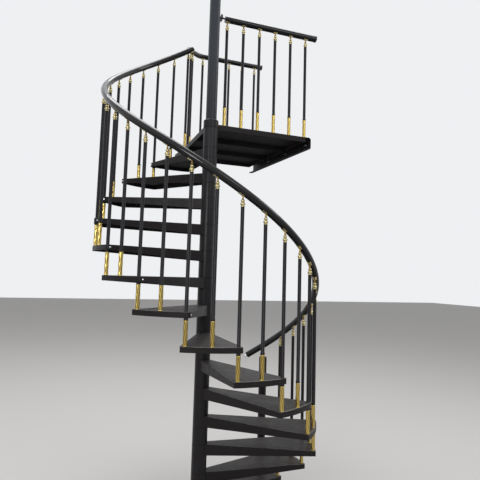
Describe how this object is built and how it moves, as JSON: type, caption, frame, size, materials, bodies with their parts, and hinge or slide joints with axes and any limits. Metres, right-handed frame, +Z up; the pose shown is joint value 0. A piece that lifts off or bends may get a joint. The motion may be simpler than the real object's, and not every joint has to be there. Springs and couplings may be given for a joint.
{
  "type": "outdoor spiral staircase with square landing",
  "caption": "Black steel spiral stair round a centre pole, with folded wedge treads, slim balusters on gilt sleeves, a round helical handrail and a railed square landing.",
  "frame": {"origin": "on the centre pole's axis at ground level, in the base flange's underside", "axes": "+Z up; +X towards the wall that the landing's deep beam is bolted to; +Y along that wall, away from the near guard"},
  "size_m": [1.75, 1.985, 4.048],
  "materials": {
    "black_post": "satin black powder coat on steel",
    "black_tread": "satin black powder coat on folded steel plate, a little dusty on top",
    "black_rail": "glossy black coating on round tube",
    "gold_sleeve": "bright gilt lacquer on twisted cast sleeve",
    "gold_connector": "bright gilt lacquer on turned casting",
    "bright_cap": "polished stainless steel"
  },
  "bodies": {
    "root": {"balusters_far": "black_post", "balusters_lower": "black_post", "balusters_middle": "black_post", "balusters_near": "black_post", "balusters_upper": "black_post", "base_flange": "black_post", "centre_pole": "black_post", "column_spacers": "black_post", "connectors_landing": "gold_connector", "connectors_lower": "gold_connector", "connectors_middle": "gold_connector", "connectors_upper": "gold_connector", "far_rail": "black_rail", "handrail_lower": "black_rail", "handrail_middle": "black_rail", "handrail_upper": "black_rail", "landing_hub": "black_post", "landing_panel_far": "black_tread", "landing_panel_middle": "black_tread", "landing_panel_near": "black_tread", "landing_wall_beam": "black_tread", "near_rail": "black_rail", "pole_bracket": "black_post", "pole_cap": "black_post", "rail_end_cap": "bright_cap", "sleeves_landing": "gold_sleeve", "sleeves_lower": "gold_sleeve", "sleeves_middle": "gold_sleeve", "sleeves_upper": "gold_sleeve", "start_newel": "black_post", "tread_01": "black_tread", "tread_02": "black_tread", "tread_03": "black_tread", "tread_04": "black_tread", "tread_05": "black_tread", "tread_06": "black_tread", "tread_07": "black_tread", "tread_08": "black_tread", "tread_09": "black_tread", "tread_10": "black_tread", "tread_11": "black_tread", "tread_12": "black_tread", "tread_13": "black_tread", "tread_14": "black_tread"}
  },
  "joints": []
}
